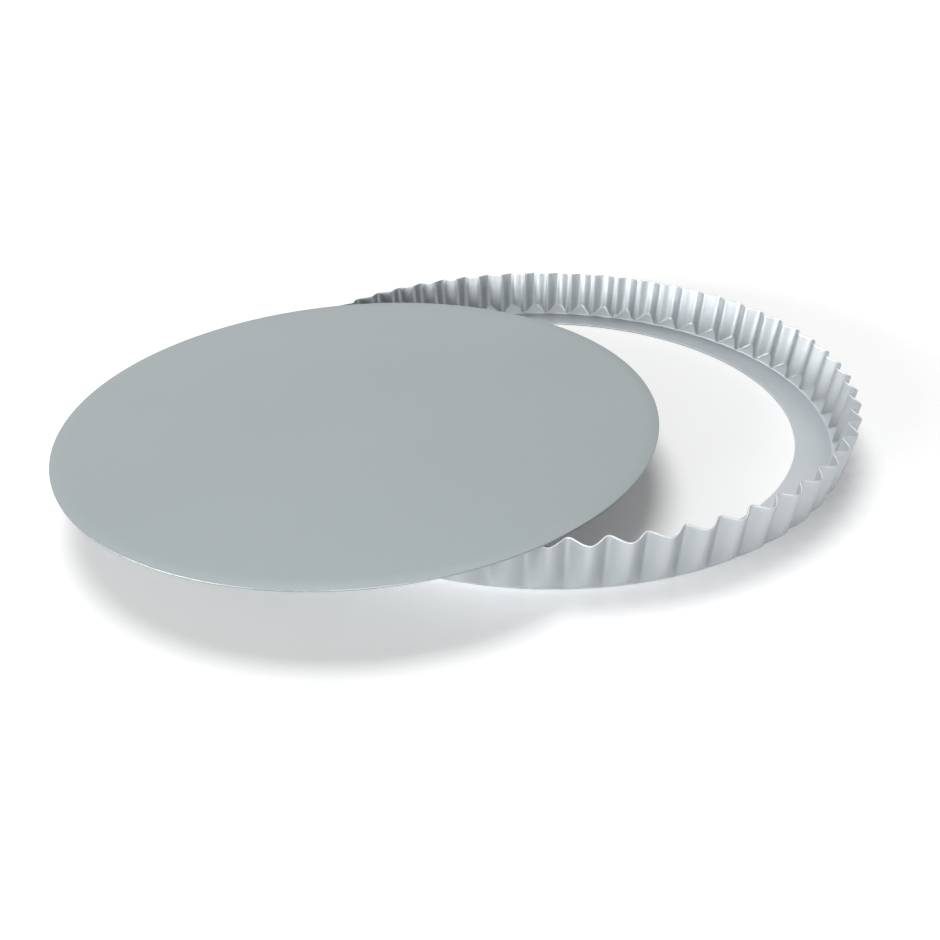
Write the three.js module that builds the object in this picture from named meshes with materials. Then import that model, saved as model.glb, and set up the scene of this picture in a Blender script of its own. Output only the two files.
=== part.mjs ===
// A loose-bottom pie pan in millimetres, +Z up: a fluted ring standing on the table, and its loose
// base lying flat on the ridges of the ring's rim, pushed to the left and towards the viewer.
import * as THREE from 'three';
import { mergeVertices } from 'three/addons/utils/BufferGeometryUtils.js';

// Driving dimensions of the ring
const RIM_RADIUS = 140;
const RIM_FLUTE_DEPTH = 4.5;
const RIM_DIP = 0.9;
const RING_HEIGHT = 24.4;
const FOOT_RADIUS = 136.3;
const FOOT_FLUTE_DEPTH = 3.4;
const LEDGE_RADIUS = 132.5;
const HOLE_RADIUS = 116.5;
const RING_SHEET = 0.6;

// Driving dimensions of the flutes
const FLUTE_COUNT = 62;
const BULGE_BREADTH = 0.2;
const FIRST_BULGE_ANGLE = THREE.MathUtils.degToRad(34.1);

// Driving dimensions of the base
const BASE_RADIUS = 125.5;
const BASE_SHEET = 0.7;
const BASE_EDGE_ROUND = 0.25;

// Where the base lies, seen from the middle of the ring
const BASE_SHIFT = new THREE.Vector2(-79.5, -35.5);
const RESTING_GAP = 0.3;

// Fineness of the meshes
const STEPS_PER_FLUTE = 8;
const BASE_SEGMENTS = 128;

// The toe is the corner between the ledge and the wall, slanted at 45 degrees. It rises until it
// meets the flaring line of the bulges.
const WALL_FLARE = (RIM_RADIUS - FOOT_RADIUS) / RING_HEIGHT;
const TOE_HEIGHT = (FOOT_RADIUS - LEDGE_RADIUS) / (1 - WALL_FLARE);
const TOE_STEPS = 2;

/**
 * Wave of the flutes, from 1 on a bulge to -1 on a ridge, with a bulge at angle 0.
 * The bulges that face outwards are broader than the ridges that face inwards.
 */
function fluteWave(angle) {
  const phase = FLUTE_COUNT * angle;
  return Math.cos(phase - BULGE_BREADTH * Math.sin(phase));
}

/** Height of the rim at an angle: full on a ridge, and dipping on a bulge. */
function rimHeight(angle) {
  return RING_HEIGHT - (RIM_DIP * (1 + fluteWave(angle))) / 2;
}

/** Outer radius of the fluted wall at an angle and a height, before the toe cuts its corner. */
function wallRadius(angle, height) {
  const rise = height / RING_HEIGHT;
  const crest = THREE.MathUtils.lerp(FOOT_RADIUS, RIM_RADIUS, rise);
  const depth = THREE.MathUtils.lerp(FOOT_FLUTE_DEPTH, RIM_FLUTE_DEPTH, rise);
  return crest - (depth * (1 - fluteWave(angle))) / 2;
}

/** Radius of the outer face: the fluted wall, or the slanted toe where that lies further in. */
function outerRadius(angle, height) {
  return Math.min(wallRadius(angle, height), LEDGE_RADIUS + height);
}

/** Radius of the inner face, one sheet further in. */
function innerRadius(angle, height) {
  const toe = LEDGE_RADIUS + height - RING_SHEET * Math.SQRT2;
  return Math.min(wallRadius(angle, height) - RING_SHEET, toe);
}

/**
 * Section of the ring at one angle, as [radius, height] pairs around the sheet:
 * along the top of the ledge, up the inner face, over the rim, down the outer face and back.
 */
function ringSection(angle) {
  const outer = [];
  const inner = [];
  for (let step = 0; step <= TOE_STEPS; step += 1) {
    const height = (TOE_HEIGHT * step) / TOE_STEPS;
    const above = height + RING_SHEET;
    outer.push([outerRadius(angle, height), height]);
    inner.push([innerRadius(angle, above), above]);
  }
  const rim = rimHeight(angle);
  outer.push([outerRadius(angle, rim), rim]);
  inner.push([innerRadius(angle, rim), rim]);
  return [[HOLE_RADIUS, RING_SHEET], ...inner, ...outer.reverse(), [HOLE_RADIUS, 0]];
}

/** Closed surface made by joining sections all the way round the Z axis. */
function loftAround(sectionAt, columns) {
  const positions = [];
  const indices = [];
  const rows = sectionAt(0).length;
  for (let column = 0; column < columns; column += 1) {
    const angle = (2 * Math.PI * column) / columns;
    for (const [radius, height] of sectionAt(angle)) {
      positions.push(radius * Math.cos(angle), radius * Math.sin(angle), height);
    }
  }
  for (let column = 0; column < columns; column += 1) {
    const here = column * rows;
    const next = ((column + 1) % columns) * rows;
    for (let row = 0; row < rows; row += 1) {
      const above = (row + 1) % rows;
      indices.push(here + row, here + above, next + above);
      indices.push(here + row, next + above, next + row);
    }
  }
  const geometry = new THREE.BufferGeometry();
  geometry.setAttribute('position', new THREE.Float32BufferAttribute(positions, 3));
  geometry.setIndex(indices);
  geometry.computeVertexNormals();
  return geometry;
}

/** Flat round plate with a rounded edge, its underside at height 0. */
function plateGeometry(radius, sheet, round) {
  const outline = new THREE.Path();
  outline.moveTo(0, 0);
  outline.lineTo(radius - round, 0);
  outline.absarc(radius - round, round, round, -Math.PI / 2, 0, false);
  outline.absarc(radius - round, sheet - round, round, 0, Math.PI / 2, false);
  outline.lineTo(0, sheet);
  const stepsPerQuarter = 2;
  const points = outline.getPoints(stepsPerQuarter / 2);
  const geometry = new THREE.LatheGeometry(points, BASE_SEGMENTS);
  geometry.rotateX(Math.PI / 2);
  geometry.deleteAttribute('uv');
  geometry.deleteAttribute('normal');
  const merged = mergeVertices(geometry);
  merged.computeVertexNormals();
  return merged;
}

const ringFinish = new THREE.MeshStandardMaterial({ color: 0xb9c1c6, roughness: 0.32, metalness: 0.85 });
const baseFinish = new THREE.MeshStandardMaterial({ color: 0xa9b2b4, roughness: 0.55, metalness: 0.4 });

const ring = new THREE.Mesh(loftAround(ringSection, FLUTE_COUNT * STEPS_PER_FLUTE), ringFinish);
ring.name = 'fluted_ring';
ring.rotation.z = FIRST_BULGE_ANGLE;

const base = new THREE.Mesh(plateGeometry(BASE_RADIUS, BASE_SHEET, BASE_EDGE_ROUND), baseFinish);
base.name = 'loose_base';
base.position.set(BASE_SHIFT.x, BASE_SHIFT.y, RING_HEIGHT + RESTING_GAP);

// The origin is under the middle of the two pieces together, on the table.
const pan = new THREE.Group();
pan.add(ring, base);
const box = new THREE.Box3().setFromObject(pan, true);
const middle = box.getCenter(new THREE.Vector3());
pan.position.set(-middle.x, -middle.y, 0);
pan.updateMatrixWorld(true);

export default pan;
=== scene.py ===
"""Loose-bottom pie pan: a fluted ring and its loose base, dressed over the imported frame.

Sizes are in metres, in the frame's own axes: +Z up, +X to the viewer's right, +Y away from the viewer.
"""

import logging
import math
from dataclasses import dataclass, field
from enum import Enum
from typing import Any, Iterator

import bpy
from mathutils import Matrix, Vector


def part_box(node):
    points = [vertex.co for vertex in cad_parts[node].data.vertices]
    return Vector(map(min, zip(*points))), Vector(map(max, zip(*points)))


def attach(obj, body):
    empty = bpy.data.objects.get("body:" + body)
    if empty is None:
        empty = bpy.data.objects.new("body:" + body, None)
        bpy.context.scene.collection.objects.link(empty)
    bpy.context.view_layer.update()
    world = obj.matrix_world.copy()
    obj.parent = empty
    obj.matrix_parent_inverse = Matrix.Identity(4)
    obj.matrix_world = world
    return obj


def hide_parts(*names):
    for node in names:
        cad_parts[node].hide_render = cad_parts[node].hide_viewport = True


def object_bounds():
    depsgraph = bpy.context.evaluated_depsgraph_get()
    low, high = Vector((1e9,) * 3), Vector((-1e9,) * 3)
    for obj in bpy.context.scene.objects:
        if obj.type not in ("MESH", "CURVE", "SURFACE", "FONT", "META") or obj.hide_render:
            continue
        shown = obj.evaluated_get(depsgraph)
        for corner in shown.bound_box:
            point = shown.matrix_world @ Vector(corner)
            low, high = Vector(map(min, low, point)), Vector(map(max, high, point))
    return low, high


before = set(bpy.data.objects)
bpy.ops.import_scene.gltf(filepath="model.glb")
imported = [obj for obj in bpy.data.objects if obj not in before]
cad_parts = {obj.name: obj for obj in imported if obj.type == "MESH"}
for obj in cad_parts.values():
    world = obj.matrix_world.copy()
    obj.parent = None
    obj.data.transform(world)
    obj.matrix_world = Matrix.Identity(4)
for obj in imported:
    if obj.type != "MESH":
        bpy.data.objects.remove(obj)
CAD_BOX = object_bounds()

LOG = logging.getLogger("pie_pan")
MM = 0.001
WHITE = (1.0, 1.0, 1.0, 1.0)

Colour = tuple[float, float, float]
Range = tuple[float, float]
Socket = bpy.types.NodeSocket
Sockets = bpy.types.NodeOutputs
Value = Socket | bpy.types.Material | tuple | float | int

# The Mix node's colour sockets share their names with its other sockets, so they go by number.
MIX_COLOUR_INPUTS = (6, 7)
MIX_COLOUR_RESULT = 2

# The kind of Geometry Nodes socket that takes a value of each type
SOCKET_KINDS: dict[type, str] = {
    float: "NodeSocketFloat",
    int: "NodeSocketInt",
    tuple: "NodeSocketVector",
    bpy.types.Material: "NodeSocketMaterial",
}

# The place of the bare steel among a piece's materials, after its coating
STEEL_INDEX = 1


class Node(Enum):
    """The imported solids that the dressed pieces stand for."""

    RING = "fluted_ring"
    BASE = "loose_base"


class Body(Enum):
    """The bodies that the pieces ride on."""

    RING = "ring"
    BASE = "base"


class Slot(Enum):
    """The record's material slots."""

    RING = "ring_coating"
    BASE = "base_coating"


class Wiring:
    """Adds nodes to a node tree and joins them, so that a formula in nodes reads like a formula."""

    def __init__(self, tree: bpy.types.NodeTree) -> None:
        """Remembers the tree that the nodes go into."""
        self.tree = tree

    def node(self, kind: str, **settings: Any) -> bpy.types.Node:
        """Adds a node and sets its properties.

        Args:
            kind: The node's type name.
            settings: Property names and values.

        Returns:
            The new node.
        """
        node = self.tree.nodes.new(kind)
        for name, value in settings.items():
            setattr(node, name, value)
        return node

    def feed(self, socket: Socket, value: Value) -> None:
        """Links a socket to another socket, or sets it to a plain value.

        Args:
            socket: The input to feed.
            value: The socket that feeds it, or the value that it is set to.
        """
        if isinstance(value, Socket):
            self.tree.links.new(value, socket)
        else:
            socket.default_value = value

    def math(self, operation: str, *values: Value) -> Socket:
        """Adds a Math node.

        Args:
            operation: The node's operation.
            values: Sockets or numbers, in the order of its inputs.

        Returns:
            The node's result.
        """
        node = self.node("ShaderNodeMath", operation=operation)
        for socket, value in zip(node.inputs, values):
            self.feed(socket, value)
        return node.outputs[0]

    def blend(self, low: Value, high: Value, share: Value) -> Socket:
        """Returns low + (high - low) * share."""
        return self.math("MULTIPLY_ADD", self.math("SUBTRACT", high, low), share, low)

    def span(self, value: Value, start: Value, end: Value, low: Value, high: Value) -> Socket:
        """Maps start..end onto low..high, held at both ends.

        Args:
            value: The number to map.
            start: Where the range begins.
            end: Where the range ends.
            low: The result at start.
            high: The result at end.

        Returns:
            The mapped number.
        """
        node = self.node("ShaderNodeMapRange", clamp=True)
        for socket, number in zip(node.inputs, (value, start, end, low, high)):
            self.feed(socket, number)
        return node.outputs[0]

    def around(self, radius: Value, angle: Value, height: Value) -> Socket:
        """Places a point about the Z axis.

        Args:
            radius: Distance from the axis.
            angle: Angle around the axis, from +X.
            height: Height along the axis.

        Returns:
            The point.
        """
        point = self.node("ShaderNodeCombineXYZ")
        self.feed(point.inputs["X"], self.math("MULTIPLY", radius, self.math("COSINE", angle)))
        self.feed(point.inputs["Y"], self.math("MULTIPLY", radius, self.math("SINE", angle)))
        self.feed(point.inputs["Z"], height)
        return point.outputs[0]

    def noise(self, vector: Value, scale: float, detail: float) -> Socket:
        """Adds a noise texture.

        Args:
            vector: Where the texture is read.
            scale: Its scale, about the number of bumps in a metre.
            detail: Its layers of finer noise.

        Returns:
            The height of the noise, from 0 to 1.
        """
        node = self.node("ShaderNodeTexNoise")
        self.feed(node.inputs["Vector"], vector)
        self.feed(node.inputs["Scale"], scale)
        self.feed(node.inputs["Detail"], detail)
        return node.outputs[0]

    def seen(self) -> Socket:
        """Tells the rays that show a surface from the rays that only carry its light.

        Returns:
            1 on rays that show it straight, in a reflection or through glass, else 0.
        """
        path = self.node("ShaderNodeLightPath").outputs
        shown = self.math("MAXIMUM", path["Is Camera Ray"], path["Is Glossy Ray"])
        return self.math("MAXIMUM", shown, path["Is Transmission Ray"])

    def mix(self, share: Value, first: Colour, second: Colour) -> Socket:
        """Mixes two colours.

        Args:
            share: 0 for the first colour, 1 for the second.
            first: Linear colour.
            second: Linear colour.

        Returns:
            The mixed colour.
        """
        node = self.node("ShaderNodeMix", data_type="RGBA")
        self.feed(node.inputs["Factor"], share)
        for number, colour in zip(MIX_COLOUR_INPUTS, (first, second)):
            self.feed(node.inputs[number], (*colour, 1.0))
        return node.outputs[MIX_COLOUR_RESULT]


def new_material(name: str) -> tuple[bpy.types.Material, Wiring, bpy.types.NodeInputs]:
    """Starts a material.

    Args:
        name: The material's name.

    Returns:
        The material, the wiring of its nodes and the inputs of its shader.
    """
    material = bpy.data.materials.new(name)
    material.use_nodes = True
    shader = material.node_tree.nodes["Principled BSDF"]
    return material, Wiring(material.node_tree), shader.inputs


@dataclass(frozen=True)
class Coating:
    """A sprayed and baked coating on sheet metal, with fine pigment, soft patches and orange peel."""

    name: str
    light: Colour
    dark: Colour
    metallic: float
    roughness_low: float
    roughness_high: float
    specular: float
    grain_per_metre: float
    peel_per_metre: float
    peel_height: float
    patch_per_metre: float = 14.0
    patch_detail: float = 3.0
    fine_detail: float = 2.0
    pigment_share: float = 0.45
    pigment_relief: float = 0.35
    peel_share: float = 0.4
    tint_range: Range = (0.36, 0.64)
    roughness_range: Range = (0.3, 0.7)

    def material(self) -> bpy.types.Material:
        """Builds the material.

        Returns:
            A procedural material on Object coordinates.
        """
        material, wiring, shader = new_material(self.name)
        place = wiring.node("ShaderNodeTexCoord").outputs["Object"]
        patches = wiring.noise(place, self.patch_per_metre, self.patch_detail)
        pigment = wiring.noise(place, self.grain_per_metre, self.fine_detail)
        peel = wiring.noise(place, self.peel_per_metre, self.fine_detail)
        speckle = wiring.blend(patches, pigment, self.pigment_share)
        tint = wiring.span(speckle, *self.tint_range, 0.0, 1.0)
        wiring.feed(shader["Base Color"], wiring.mix(tint, self.dark, self.light))
        worn = wiring.blend(patches, peel, self.peel_share)
        roughness = wiring.span(worn, *self.roughness_range, self.roughness_low, self.roughness_high)
        wiring.feed(shader["Roughness"], roughness)
        wiring.feed(shader["Metallic"], self.metallic)
        wiring.feed(shader["Specular IOR Level"], self.specular)
        bump = wiring.node("ShaderNodeBump")
        wiring.feed(bump.inputs["Height"], wiring.math("MULTIPLY_ADD", pigment, self.pigment_relief, peel))
        wiring.feed(bump.inputs["Distance"], self.peel_height)
        wiring.feed(shader["Normal"], bump.outputs["Normal"])
        return material


@dataclass(frozen=True)
class ShearedEdge:
    """The bare steel that shows where the coated sheet was cut."""

    name: str
    light: Colour
    dark: Colour
    burr_per_metre: float = 2600.0
    burr_detail: float = 2.0
    tint_range: Range = (0.35, 0.65)
    roughness_range: Range = (0.3, 0.7)
    roughness_low: float = 0.3
    roughness_high: float = 0.45

    def material(self) -> bpy.types.Material:
        """Builds the material.

        Returns:
            A procedural material on Object coordinates.
        """
        material, wiring, shader = new_material(self.name)
        place = wiring.node("ShaderNodeTexCoord").outputs["Object"]
        burr = wiring.noise(place, self.burr_per_metre, self.burr_detail)
        tint = wiring.span(burr, *self.tint_range, 0.0, 1.0)
        wiring.feed(shader["Base Color"], wiring.mix(tint, self.dark, self.light))
        roughness = wiring.span(burr, *self.roughness_range, self.roughness_low, self.roughness_high)
        wiring.feed(shader["Roughness"], roughness)
        wiring.feed(shader["Metallic"], 1.0)
        return material


RING_COATING = Coating(
    name="ring_coating",
    light=(0.452, 0.480, 0.498),
    dark=(0.416, 0.444, 0.462),
    metallic=0.74,
    roughness_low=0.37,
    roughness_high=0.45,
    specular=0.5,
    grain_per_metre=2400.0,
    peel_per_metre=520.0,
    peel_height=0.02 * MM,
)
BASE_COATING = Coating(
    name="base_coating",
    light=(0.288, 0.323, 0.331),
    dark=(0.268, 0.302, 0.311),
    metallic=0.25,
    roughness_low=0.50,
    roughness_high=0.60,
    specular=0.35,
    grain_per_metre=2000.0,
    peel_per_metre=600.0,
    peel_height=0.015 * MM,
)
RING_EDGE = ShearedEdge(name="ring_edge", light=(0.28, 0.30, 0.31), dark=(0.22, 0.24, 0.25))
BASE_EDGE = ShearedEdge(name="base_edge", light=(0.30, 0.33, 0.34), dark=(0.24, 0.26, 0.27))


def centre_of(node: Node) -> Vector:
    """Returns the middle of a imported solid's box."""
    low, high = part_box(node.value)
    return (low + high) / 2


def reach_of(face: bpy.types.MeshPolygon, centre: Vector) -> float:
    """Returns how far a face lies from the upright axis through a centre."""
    return math.hypot(face.center.x - centre.x, face.center.y - centre.y)


def add_object(name: str, data: bpy.types.ID) -> bpy.types.Object:
    """Adds an object to the scene.

    Args:
        name: The object's name.
        data: The mesh, lamp or camera that it shows.

    Returns:
        The object, at the origin.
    """
    thing = bpy.data.objects.new(name, data)
    bpy.context.scene.collection.objects.link(thing)
    return thing


def settle(piece: bpy.types.Object) -> None:
    """Turns a piece's modifiers into a plain, smooth mesh.

    Args:
        piece: The piece, whose modifiers are then removed.
    """
    bpy.context.view_layer.update()
    evaluated = piece.evaluated_get(bpy.context.evaluated_depsgraph_get())
    mesh = bpy.data.meshes.new_from_object(evaluated)
    mesh.name = piece.name
    piece.modifiers.clear()
    piece.data = mesh
    mesh.shade_smooth()


def show(piece: bpy.types.Object, node: Node, body: Body) -> None:
    """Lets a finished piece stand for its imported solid.

    Args:
        piece: The finished piece.
        node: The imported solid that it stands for.
        body: The body that it rides on.
    """
    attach(piece, body.value)
    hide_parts(node.value)
    LOG.info("%s: %d faces on body %s", piece.name, len(piece.data.polygons), body.value)


@dataclass
class FlutedRing:
    """The side of the pan: a flaring wall of flutes on an inward ledge, pressed from one sheet."""

    rim_radius: float = 140.0 * MM
    rim_flute_depth: float = 4.5 * MM
    rim_dip: float = 0.9 * MM
    foot_radius: float = 136.3 * MM
    foot_flute_depth: float = 3.4 * MM
    ledge_radius: float = 132.5 * MM
    hole_radius: float = 116.5 * MM
    height: float = 24.4 * MM
    sheet: float = 0.6 * MM
    flutes: int = 62
    bulge_breadth: float = 0.2
    crease: float = 0.70
    first_bulge: float = math.radians(34.1)
    ledge_round: float = 0.5 * MM
    toe_round: float = 1.0 * MM
    dent_depth: float = 0.16 * MM
    dents_per_metre: float = 90.0
    dent_detail: float = 1.0
    dent_flatness: float = 0.5
    dent_fade: float = 0.3
    edge_round: float = 0.16 * MM
    edge_segments: int = 2
    edge_angle: float = math.radians(55.0)
    columns_per_flute: int = 20
    rows: dict[str, int] = field(
        default_factory=lambda: {"hem": 1, "ledge": 3, "toe": 13, "wall": 6, "rim": 1}
    )
    hem_width: float = 0.6 * MM
    toe_start: float = -1.6 * MM
    toe_end: float = 6.0 * MM
    seam_reach: float = 0.001 * MM
    level_normal: float = 0.8
    upright_normal: float = 0.5

    def build(self) -> bpy.types.Object:
        """Presses the sheet into flutes and gives it its thickness.

        Returns:
            The ring, as a plain mesh in its place.
        """
        ring = add_object("pressed_fluted_ring", bpy.data.meshes.new("pressed_fluted_ring"))
        sizes = self.press_sizes(RING_COATING.material())
        tree = self.press_tree(sizes)
        press = ring.modifiers.new("press", "NODES")
        press.node_group = tree
        for item in tree.interface.items_tree:
            if item.in_out == "INPUT":
                press[item.identifier] = sizes[item.name]
        thickness = ring.modifiers.new("sheet", "SOLIDIFY")
        thickness.thickness = self.sheet
        thickness.offset = -1.0
        thickness.use_even_offset = True
        edges = ring.modifiers.new("edges", "BEVEL")
        edges.limit_method = "ANGLE"
        edges.angle_limit = self.edge_angle
        edges.width = self.edge_round
        edges.segments = self.edge_segments
        settle(ring)
        return ring

    def press_sizes(self, coating: bpy.types.Material) -> dict[str, Value]:
        """Gives a value to each named input of the press tree.

        Args:
            coating: The material of the sheet.

        Returns:
            Input names and their values.
        """
        centre = centre_of(Node.RING)
        return {
            "Rim Radius": self.rim_radius,
            "Rim Flute Depth": self.rim_flute_depth,
            "Rim Dip": self.rim_dip,
            "Foot Radius": self.foot_radius,
            "Foot Flute Depth": self.foot_flute_depth,
            "Ledge Radius": self.ledge_radius,
            "Hole Radius": self.hole_radius,
            "Height": self.height,
            "Flutes": self.flutes,
            "Bulge Breadth": self.bulge_breadth,
            "Crease": self.crease,
            "First Bulge": self.first_bulge,
            "Ledge Round": self.ledge_round,
            "Toe Round": self.toe_round,
            "Dent Depth": self.dent_depth,
            "Columns per Flute": self.columns_per_flute,
            "Hem Width": self.hem_width,
            "Toe Start": self.toe_start,
            "Toe End": self.toe_end,
            "Centre": (centre.x, centre.y, 0.0),
            "Coating": coating,
        }

    def press_tree(self, sizes: dict[str, Value]) -> bpy.types.NodeTree:
        """Builds the Geometry Nodes tree that bends a grid into the outer face of the ring.

        Args:
            sizes: The names of the tree's inputs, with values of the right types.

        Returns:
            The tree, with a named input for each size.
        """
        tree = bpy.data.node_groups.new("fluted_press", "GeometryNodeTree")
        tree.interface.new_socket(name="Ring", in_out="OUTPUT", socket_type="NodeSocketGeometry")
        for name, value in sizes.items():
            tree.interface.new_socket(name=name, in_out="INPUT", socket_type=SOCKET_KINDS[type(value)])
        wiring = Wiring(tree)
        size = wiring.node("NodeGroupInput").outputs
        grid, turn, row = self.flat_grid(wiring, size)
        bend = wiring.node("GeometryNodeSetPosition")
        wiring.feed(bend.inputs["Geometry"], grid)
        wiring.feed(bend.inputs["Position"], self.pressed_point(wiring, size, turn, row))
        wiring.feed(bend.inputs["Offset"], size["Centre"])
        seam = wiring.node("GeometryNodeMergeByDistance")
        wiring.feed(seam.inputs["Geometry"], bend.outputs[0])
        wiring.feed(seam.inputs["Distance"], self.seam_reach)
        real = wiring.node("GeometryNodeRealizeInstances")
        wiring.feed(real.inputs[0], seam.outputs[0])
        coat = wiring.node("GeometryNodeSetMaterial")
        wiring.feed(coat.inputs["Geometry"], real.outputs[0])
        wiring.feed(coat.inputs["Material"], size["Coating"])
        wiring.feed(wiring.node("NodeGroupOutput").inputs[0], coat.outputs[0])
        return tree

    def flat_grid(self, wiring: Wiring, size: Sockets) -> tuple[Socket, Socket, Socket]:
        """Lays out the grid that is bent, with columns around the ring and rows across its sheet.

        Args:
            wiring: The tree's wiring.
            size: The tree's named inputs.

        Returns:
            The grid, and for each of its points the turn around the ring and the row number.
        """
        row_count = sum(self.rows.values())
        columns = wiring.math("MULTIPLY", size["Flutes"], size["Columns per Flute"])
        grid = wiring.node("GeometryNodeMeshGrid")
        wiring.feed(grid.inputs["Size X"], 1.0)
        wiring.feed(grid.inputs["Size Y"], 1.0)
        wiring.feed(grid.inputs["Vertices X"], wiring.math("ADD", columns, 1.0))
        wiring.feed(grid.inputs["Vertices Y"], row_count + 1)
        parts = wiring.node("ShaderNodeSeparateXYZ")
        wiring.feed(parts.inputs[0], wiring.node("GeometryNodeInputPosition").outputs[0])
        turn = wiring.math("MULTIPLY", wiring.math("ADD", parts.outputs["X"], 0.5), math.tau)
        row = wiring.math("MULTIPLY", wiring.math("ADD", parts.outputs["Y"], 0.5), float(row_count))
        return grid.outputs["Mesh"], turn, row

    def pressed_point(self, wiring: Wiring, size: Sockets, turn: Socket, row: Socket) -> Socket:
        """Works out where a point of the grid lies on the ring.

        A path runs outwards along the underside of the ledge, over the slanted toe and up the
        wall. Where the toe lies further in than the wall it takes the corner off the flute.

        Args:
            wiring: The tree's wiring.
            size: The tree's named inputs.
            turn: Angle around the ring, from the first bulge.
            row: The row number, counted from the hole.

        Returns:
            The point, seen from the middle of the ring.
        """
        fold = self.fold_at(wiring, size, turn)
        rim = wiring.blend(wiring.math("SUBTRACT", size["Height"], size["Rim Dip"]), size["Height"], fold)
        path = self.path_along(wiring, size, row, rim)
        height = wiring.math("SMOOTH_MAX", path, 0.0, size["Ledge Round"])
        rise = wiring.math("DIVIDE", height, size["Height"])
        crest = wiring.blend(size["Foot Radius"], size["Rim Radius"], rise)
        depth = wiring.blend(size["Foot Flute Depth"], size["Rim Flute Depth"], rise)
        wall = wiring.math("SUBTRACT", crest, wiring.math("MULTIPLY", depth, fold))
        toe = wiring.math("ADD", size["Ledge Radius"], path)
        clean = wiring.math("SMOOTH_MIN", toe, wall, size["Toe Round"])
        angle = wiring.math("ADD", turn, size["First Bulge"])
        radius = wiring.math("ADD", clean, self.dent(wiring, size, angle, height, rise))
        return wiring.around(radius, angle, height)

    def fold_at(self, wiring: Wiring, size: Sockets, turn: Socket) -> Socket:
        """Works out how far the wall is folded inwards. Its bulges are broader than its ridges.

        Args:
            wiring: The tree's wiring.
            size: The tree's named inputs.
            turn: Angle around the ring, from the first bulge.

        Returns:
            The fold, 0 on a bulge and 1 on a ridge.
        """
        phase = wiring.math("MULTIPLY", turn, size["Flutes"])
        lag = wiring.math("MULTIPLY", wiring.math("SINE", phase), size["Bulge Breadth"])
        swing = wiring.math("COSINE", wiring.math("SUBTRACT", phase, lag))
        folded = wiring.math("ARCSINE", wiring.math("MULTIPLY", swing, size["Crease"]))
        wave = wiring.math("DIVIDE", folded, wiring.math("ARCSINE", size["Crease"]))
        return wiring.math("MULTIPLY", wiring.math("SUBTRACT", 1.0, wave), 0.5)

    def path_along(self, wiring: Wiring, size: Sockets, row: Socket, rim: Socket) -> Socket:
        """Spaces the rows of the grid along the path, close together on the toe.

        Args:
            wiring: The tree's wiring.
            size: The tree's named inputs.
            row: The row number, counted from the hole.
            rim: The height of the rim.

        Returns:
            The distance along the path, 0 where the ledge meets the toe.
        """
        hole = wiring.math("SUBTRACT", size["Hole Radius"], size["Ledge Radius"])
        stations = [
            hole,
            wiring.math("ADD", hole, size["Hem Width"]),
            size["Toe Start"],
            size["Toe End"],
            wiring.math("SUBTRACT", rim, size["Hem Width"]),
            rim,
        ]
        path = hole
        first = 0
        for count, start, end in zip(self.rows.values(), stations, stations[1:]):
            length = wiring.math("SUBTRACT", end, start)
            stretch = wiring.span(row, float(first), float(first + count), 0.0, length)
            path = wiring.math("ADD", path, stretch)
            first += count
        return path

    def dent(self, wiring: Wiring, size: Sockets, angle: Socket, height: Socket, rise: Socket) -> Socket:
        """Adds the small unevenness that pressing leaves in the wall, fading out at the ledge.

        Args:
            wiring: The tree's wiring.
            size: The tree's named inputs.
            angle: Angle around the ring.
            height: Height above the table.
            rise: Height as a share of the wall.

        Returns:
            The change of radius.
        """
        level = wiring.math("MULTIPLY", height, self.dent_flatness)
        place = wiring.around(size["Rim Radius"], angle, level)
        unevenness = wiring.noise(place, self.dents_per_metre, self.dent_detail)
        swing = wiring.math("MULTIPLY", wiring.math("SUBTRACT", unevenness, 0.5), 2.0)
        fade = wiring.span(rise, 0.0, self.dent_fade, 0.0, 1.0)
        return wiring.math("MULTIPLY", wiring.math("MULTIPLY", swing, fade), size["Dent Depth"])

    def dress(self, ring: bpy.types.Object) -> None:
        """Bares the sheared steel on the rim and round the hole.

        Args:
            ring: The built ring.
        """
        mesh = ring.data
        mesh.materials.append(RING_EDGE.material())
        centre = centre_of(Node.RING)
        rim_floor = self.height - self.rim_dip - self.edge_round
        hole_wall = self.hole_radius + self.edge_round / 4
        for face in mesh.polygons:
            on_rim = face.center.z > rim_floor and face.normal.z > self.level_normal
            on_hole = reach_of(face, centre) < hole_wall and abs(face.normal.z) < self.upright_normal
            if on_rim or on_hole:
                face.material_index = STEEL_INDEX


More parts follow.
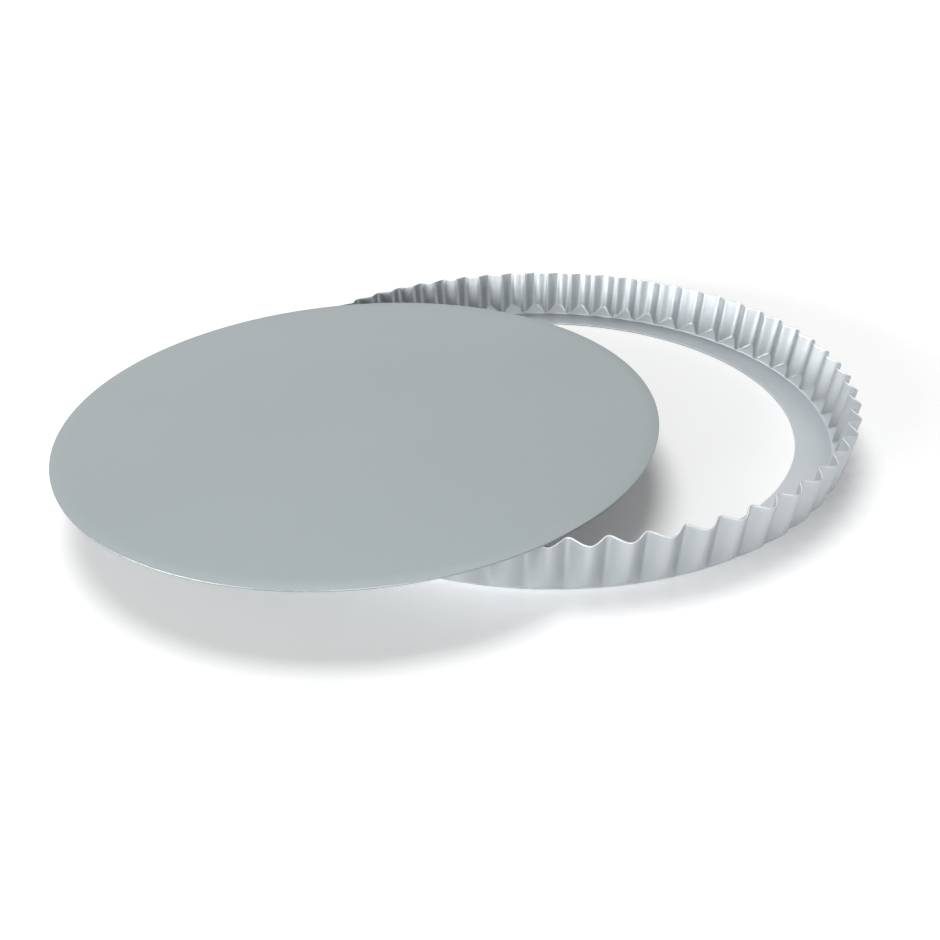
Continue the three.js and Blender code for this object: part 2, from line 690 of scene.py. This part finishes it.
@dataclass
class LooseBase:
    """The loose bottom of the pan: a flat round plate that lies on the rim of the ring."""

    radius: float = 125.5 * MM
    edge_round: float = 0.25 * MM
    dish: float = 0.12 * MM
    rings: int = 24
    segments: int = 240
    edge_steps: int = 4

    def build(self) -> bpy.types.Object:
        """Turns the plate's section about its own axis.

        Returns:
            The base, as a plain mesh in its place.
        """
        low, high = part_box(Node.BASE.value)
        centre = centre_of(Node.BASE)
        (_, bottom), *section, (_, top) = self.section(low.z, high.z)
        turns = [math.tau * step / self.segments for step in range(self.segments)]
        points = [
            (centre.x + radius * math.cos(turn), centre.y + radius * math.sin(turn), height)
            for radius, height in section
            for turn in turns
        ]
        points += [(centre.x, centre.y, bottom), (centre.x, centre.y, top)]
        mesh = bpy.data.meshes.new("flat_loose_base")
        mesh.from_pydata(points, [], list(self.faces(len(section))))
        mesh.shade_smooth()
        return add_object("flat_loose_base", mesh)

    def faces(self, circles: int) -> Iterator[tuple[int, ...]]:
        """Yields the faces between neighbouring circles of points, and those that close the middles.

        Args:
            circles: How many circles of points there are, from the underside round to the top.

        Yields:
            The numbers of each face's points, in the order that makes it point outwards.
        """
        under_middle = circles * self.segments
        top_middle = under_middle + 1
        last = under_middle - self.segments
        for step in range(self.segments):
            after = (step + 1) % self.segments
            yield under_middle, after, step
            yield top_middle, last + step, last + after
            for first in range(0, last, self.segments):
                above = first + self.segments
                yield first + step, first + after, above + after, above + step

    def section(self, bottom: float, top: float) -> Iterator[tuple[float, float]]:
        """Yields the section of the plate, from the middle of its underside to the middle of its top.

        Args:
            bottom: Height of the underside.
            top: Height of the upper face at its edge.

        Yields:
            Radius and height of each point.
        """
        flat = self.radius - self.edge_round
        quarter = [math.pi / 2 * step / self.edge_steps for step in range(self.edge_steps + 1)]
        for step in range(self.rings):
            yield flat * step / self.rings, bottom
        for swing in quarter:
            yield flat + self.edge_round * math.sin(swing), bottom + self.edge_round * (1 - math.cos(swing))
        for swing in quarter:
            yield flat + self.edge_round * math.cos(swing), top - self.edge_round * (1 - math.sin(swing))
        for step in reversed(range(self.rings)):
            share = step / self.rings
            yield flat * share, top - self.dish * (1 - share**2)

    def dress(self, base: bpy.types.Object) -> None:
        """Coats the plate and bares the sheared steel of its edge.

        Args:
            base: The built base.
        """
        mesh = base.data
        mesh.materials.append(BASE_COATING.material())
        mesh.materials.append(BASE_EDGE.material())
        centre = centre_of(Node.BASE)
        bare = self.radius - self.edge_round / 2
        for face in mesh.polygons:
            if reach_of(face, centre) > bare:
                face.material_index = STEEL_INDEX


def direction(azimuth: float, elevation: float) -> Vector:
    """Returns the unit vector at an angle round the Z axis, from +X, and an angle above the table."""
    level = math.cos(elevation)
    return Vector((math.cos(azimuth) * level, math.sin(azimuth) * level, math.sin(elevation)))


@dataclass(frozen=True)
class Softbox:
    """A rectangular lamp that faces the pan."""

    name: str
    azimuth: float
    elevation: float
    width: float
    height: float
    power: float
    distance: float = 2.2
    target: tuple[float, float, float] = (30 * MM, 50 * MM, 10 * MM)

    def hang(self) -> None:
        """Hangs the lamp."""
        lamp = bpy.data.lights.new(self.name, "AREA")
        lamp.shape = "RECTANGLE"
        lamp.size = self.width
        lamp.size_y = self.height
        lamp.energy = self.power
        towards = direction(self.azimuth, self.elevation)
        box = add_object(self.name, lamp)
        box.location = Vector(self.target) + towards * self.distance
        box.rotation_euler = towards.to_track_quat("Z", "Y").to_euler()


LEFT_BOX = Softbox("left_box", math.radians(213.0), math.radians(11.0), width=1.6, height=0.5, power=56.0)
FRONT_BOX = Softbox("front_box", math.radians(274.0), math.radians(4.0), width=1.2, height=0.3, power=26.0)


@dataclass
class Studio:
    """The pale floor, the soft light and the camera."""

    floor_reach: float = 40.0
    floor_colour: Colour = (0.96, 0.96, 0.96)
    floor_glow_near: float = 0.12
    floor_glow_far: float = 0.38
    floor_glow_start: float = 0.14
    floor_glow_end: float = 0.6
    ambient: float = 0.18
    boxes: tuple[Softbox, ...] = (LEFT_BOX, FRONT_BOX)
    sun_strength: float = 2.05
    sun_spread: float = math.radians(36.0)
    sun_elevation: float = math.radians(65.0)
    sun_azimuth: float = math.radians(106.0)
    camera_place: Vector = field(default_factory=lambda: Vector((-1.3, -364.2, 196.1)) * MM)
    camera_tilt: float = math.radians(90.0 - 31.07)
    camera_roll: float = math.radians(-1.61)
    camera_near: float = 10 * MM
    lens: float = 33.7
    sensor: float = 36.0

    def build(self) -> None:
        """Sets up the floor, the world, the lamps and the camera."""
        self.lay_floor()
        self.light_world()
        self.hang_sun()
        for box in self.boxes:
            box.hang()
        self.place_camera()
        bpy.context.scene.view_settings.view_transform = "Standard"

    def lay_floor(self) -> None:
        """Lays the floor that the ring stands on."""
        low, _ = CAD_BOX
        reach = self.floor_reach
        corners = [(x * reach, y * reach, low.z) for x, y in ((-1, -1), (1, -1), (1, 1), (-1, 1))]
        mesh = bpy.data.meshes.new("floor")
        mesh.from_pydata(corners, [], [(0, 1, 2, 3)])
        material, wiring, shader = new_material("floor")
        wiring.feed(shader["Base Color"], (*self.floor_colour, 1.0))
        wiring.feed(shader["Roughness"], 1.0)
        wiring.feed(shader["Specular IOR Level"], 0.0)
        wiring.feed(shader["Emission Color"], WHITE)
        away = wiring.node("ShaderNodeVectorMath", operation="LENGTH")
        wiring.feed(away.inputs[0], wiring.node("ShaderNodeTexCoord").outputs["Object"])
        edge = (self.floor_glow_start, self.floor_glow_end, self.floor_glow_near, self.floor_glow_far)
        glow = wiring.span(away.outputs["Value"], *edge)
        wiring.feed(shader["Emission Strength"], wiring.math("MULTIPLY", wiring.seen(), glow))
        mesh.materials.append(material)
        floor = add_object("floor", mesh)

    def light_world(self) -> None:
        """Makes a world that is white to look at and soft as a light."""
        world = bpy.data.worlds.new("studio")
        world.use_nodes = True
        bpy.context.scene.world = world
        wiring = Wiring(world.node_tree)
        background = world.node_tree.nodes["Background"]
        wiring.feed(background.inputs["Color"], WHITE)
        wiring.feed(background.inputs["Strength"], wiring.blend(self.ambient, 1.0, wiring.seen()))

    def hang_sun(self) -> None:
        """Hangs one broad, soft lamp behind and a little to the left."""
        lamp = bpy.data.lights.new("soft_key", "SUN")
        lamp.energy = self.sun_strength
        lamp.angle = self.sun_spread
        towards = direction(self.sun_azimuth, self.sun_elevation)
        add_object("soft_key", lamp).rotation_euler = towards.to_track_quat("Z", "Y").to_euler()

    def place_camera(self) -> None:
        """Places the camera at the photograph's viewing angle."""
        camera = bpy.data.cameras.new("camera")
        camera.lens = self.lens
        camera.sensor_width = self.sensor
        camera.clip_start = self.camera_near
        camera.clip_end = 2 * self.floor_reach
        turn = Matrix.Rotation(self.camera_tilt, 4, "X") @ Matrix.Rotation(self.camera_roll, 4, "Z")
        stand = add_object("camera", camera)
        stand.matrix_world = Matrix.Translation(self.camera_place) @ turn
        bpy.context.scene.camera = stand


def main() -> None:
    """Builds the studio and the two pieces of the pan."""
    logging.basicConfig(level=logging.INFO, format="%(name)s: %(message)s")
    Studio().build()
    ring_maker = FlutedRing()
    ring = ring_maker.build()
    ring_maker.dress(ring)
    show(ring, Node.RING, Body.RING)
    base_maker = LooseBase()
    base = base_maker.build()
    base_maker.dress(base)
    show(base, Node.BASE, Body.BASE)


if __name__ == "__main__":
    main()
